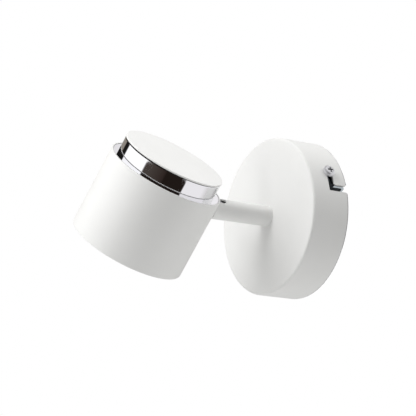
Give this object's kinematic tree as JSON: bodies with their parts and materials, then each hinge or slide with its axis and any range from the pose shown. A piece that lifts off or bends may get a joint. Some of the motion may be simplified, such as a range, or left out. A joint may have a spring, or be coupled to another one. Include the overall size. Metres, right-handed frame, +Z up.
{
  "type": "wall spotlight",
  "caption": "White wall spotlight: round canopy with side bayonet slots, a short arm that swivels, and a tilting cylinder head with a chrome ring round its rear cap.",
  "frame": {"origin": "centre of the wall bracket's back face, on the wall plane", "axes": "+Y into the wall, -Y out of the wall along the arm, +X to the right seen from the front, +Z up"},
  "size_m": [0.1, 0.1531, 0.1],
  "materials": {
    "white_coat": "satin powder coat",
    "chrome_plate": "polished chrome plate",
    "zinc_steel": "bright zinc plate",
    "nickel_screw": "nickel plated steel",
    "brass": "bare brass",
    "block_plastic": "natural nylon",
    "black_nylon": "black nylon",
    "lead_sleeve": "fluoropolymer insulation",
    "ceramic_body": "unglazed steatite",
    "lamp_housing": "white moulded plastic",
    "lamp_optic": "clear moulded lens",
    "board_white": "white solder mask",
    "led_phosphor": "LED phosphor"
  },
  "bodies": {
    "mount": {"wall_bracket": "zinc_steel", "canopy": "white_coat", "canopy_screws": "nickel_screw", "stop_pin": "zinc_steel", "terminal_block": "block_plastic", "terminal_inserts": "brass", "terminal_screws": "nickel_screw", "block_screw": "nickel_screw", "earth_screw": "nickel_screw", "earth_washer": "nickel_screw", "canopy_leads": "lead_sleeve"},
    "arm": {"arm_tube": "white_coat", "hollow_nipple": "nickel_screw", "nipple_bush": "black_nylon", "stop_washer": "zinc_steel", "spring_washer": "zinc_steel", "swivel_nut": "zinc_steel", "pivot_half_upper": "zinc_steel", "pivot_half_lower": "zinc_steel", "friction_washers": "black_nylon", "arm_leads": "lead_sleeve"},
    "head": {"knuckle": "nickel_screw", "saddle_spacer": "zinc_steel", "knuckle_lock_washer": "zinc_steel", "knuckle_nut": "zinc_steel", "head_shell": "white_coat", "chrome_ring": "chrome_plate", "rear_cap": "white_coat", "cap_nuts": "zinc_steel", "holder_bracket": "zinc_steel", "lampholder": "ceramic_body", "holder_contacts": "brass", "holder_screws": "nickel_screw", "lamp_body": "lamp_housing", "lamp_pins": "brass", "lamp_lens": "lamp_optic", "led_board": "board_white", "led_chips": "led_phosphor", "head_leads": "lead_sleeve"}
  },
  "joints": [
    {"name": "arm_swivel", "type": "hinge", "parent": "mount", "child": "arm", "pos_m": [0, -0.027, 0], "axis": [0, -1, 0], "range_deg": [-170, 170]},
    {"name": "head_tilt", "type": "hinge", "parent": "arm", "child": "head", "pos_m": [0, -0.0629, 0], "axis": [-0.7848, 0, 0.6198], "range_deg": [-8.9, 81.1]}
  ]
}
